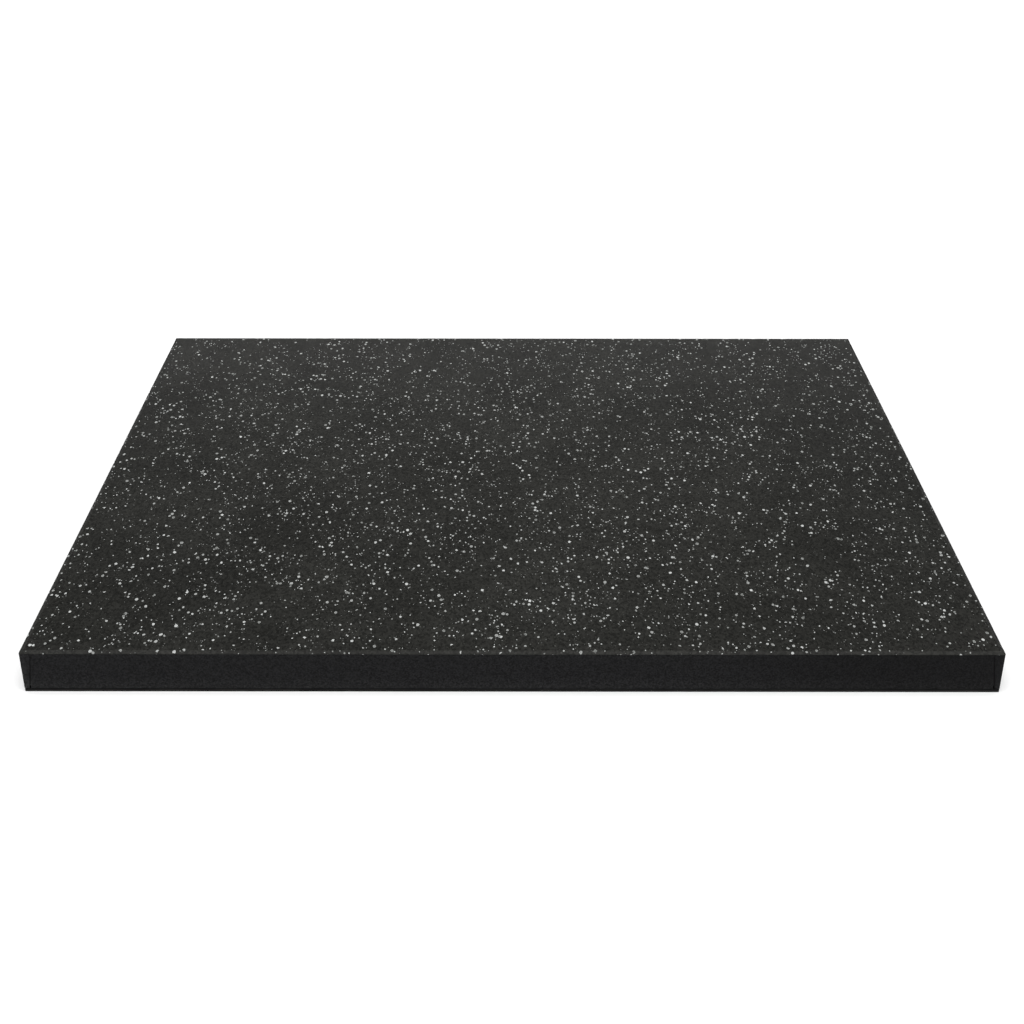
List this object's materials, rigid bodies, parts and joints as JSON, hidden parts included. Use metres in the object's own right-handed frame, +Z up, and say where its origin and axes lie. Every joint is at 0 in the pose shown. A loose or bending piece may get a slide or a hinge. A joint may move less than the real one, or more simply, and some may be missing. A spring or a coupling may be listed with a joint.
{
  "type": "granite slab",
  "caption": "Flat rectangular stone plate with inlaid black edging and a thin rubber backing, a firm level base for tooling and stamping leather.",
  "frame": {"origin": "middle of the underside, on the surface that the slab stands on", "axes": "+X along the width towards the right end, +Y along the depth from the front edge to the rear edge, +Z up out of the working face"},
  "size_m": [0.45, 0.38, 0.0216],
  "materials": {
    "granite": "honed, charcoal with off-white specks",
    "edging": "matte black vinyl with a fine moulded grain",
    "adhesive": "black acrylic foam tape",
    "backing": "matte"
  },
  "bodies": {
    "root": {"granite_plate": "granite", "front_edge_band": "edging", "rear_edge_band": "edging", "left_edge_band": "edging", "right_edge_band": "edging", "front_band_tape": "adhesive", "rear_band_tape": "adhesive", "left_band_tape": "adhesive", "right_band_tape": "adhesive", "backing_tape": "adhesive", "backing_sheet": "backing"}
  },
  "joints": []
}
